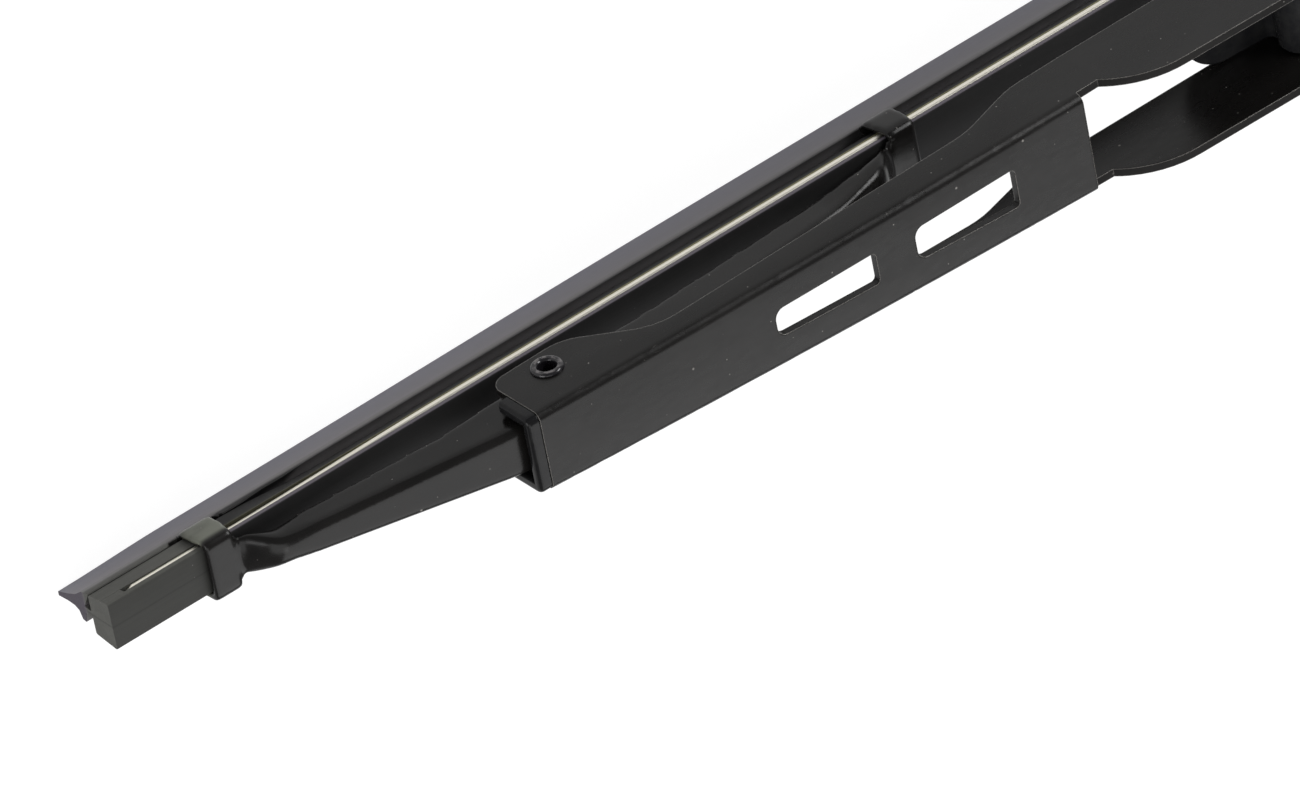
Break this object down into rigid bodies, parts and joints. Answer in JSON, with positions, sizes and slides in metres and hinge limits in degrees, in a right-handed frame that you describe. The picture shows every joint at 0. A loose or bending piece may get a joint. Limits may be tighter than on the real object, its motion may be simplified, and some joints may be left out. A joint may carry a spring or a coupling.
{
  "type": "windscreen wiper blade",
  "caption": "Framed windscreen wiper blade: arched sheet-metal bridge, rocking secondary levers with claws, rubber wiping strip with steel rails and a plastic arm adapter.",
  "frame": {"origin": "centre of the arm pin that crosses the middle of the bridge", "axes": "+X along the blade, +Y along the arm pin, +Z away from the glass; the wiping lip points to -Z"},
  "size_m": [0.3186, 0.0142, 0.0295],
  "materials": {
    "painted_steel": "satin black paint, worn along cut edges",
    "black_plastic": "smooth moulded black plastic",
    "rivet_steel": "blackened steel, worn bright on its ring",
    "wiper_rubber": "matte dark grey",
    "rail_steel": "bright spring steel strip"
  },
  "bodies": {
    "main_bridge": {"main_bridge": "painted_steel", "pivot_liner_left": "black_plastic", "pivot_liner_right": "black_plastic", "pivot_rivet_left": "rivet_steel", "pivot_rivet_right": "rivet_steel", "arm_pin": "rivet_steel", "wiper_rubber": "wiper_rubber", "rail_front": "rail_steel", "rail_rear": "rail_steel"},
    "lever_left": {"lever_left": "painted_steel"},
    "lever_right": {"lever_right": "painted_steel"},
    "hook_adapter": {"hook_adapter": "black_plastic"}
  },
  "joints": [
    {"name": "lever_left_rock", "type": "hinge", "parent": "main_bridge", "child": "lever_left", "pos_m": [-0.103, 0, -0.0062], "axis": [0, -1, 0], "range_deg": [-4, 4], "stiffness_Nm_per_rad": 2, "deforming": ["wiper_rubber", "rail_front", "rail_rear"]},
    {"name": "lever_right_rock", "type": "hinge", "parent": "main_bridge", "child": "lever_right", "pos_m": [0.103, 0, -0.0062], "axis": [0, 1, 0], "range_deg": [-4, 4], "stiffness_Nm_per_rad": 2, "deforming": ["wiper_rubber", "rail_front", "rail_rear"]},
    {"name": "adapter_swing", "type": "hinge", "parent": "main_bridge", "child": "hook_adapter", "pos_m": [0, 0, 0], "axis": [0, 1, 0], "range_deg": [-12, 12]}
  ]
}
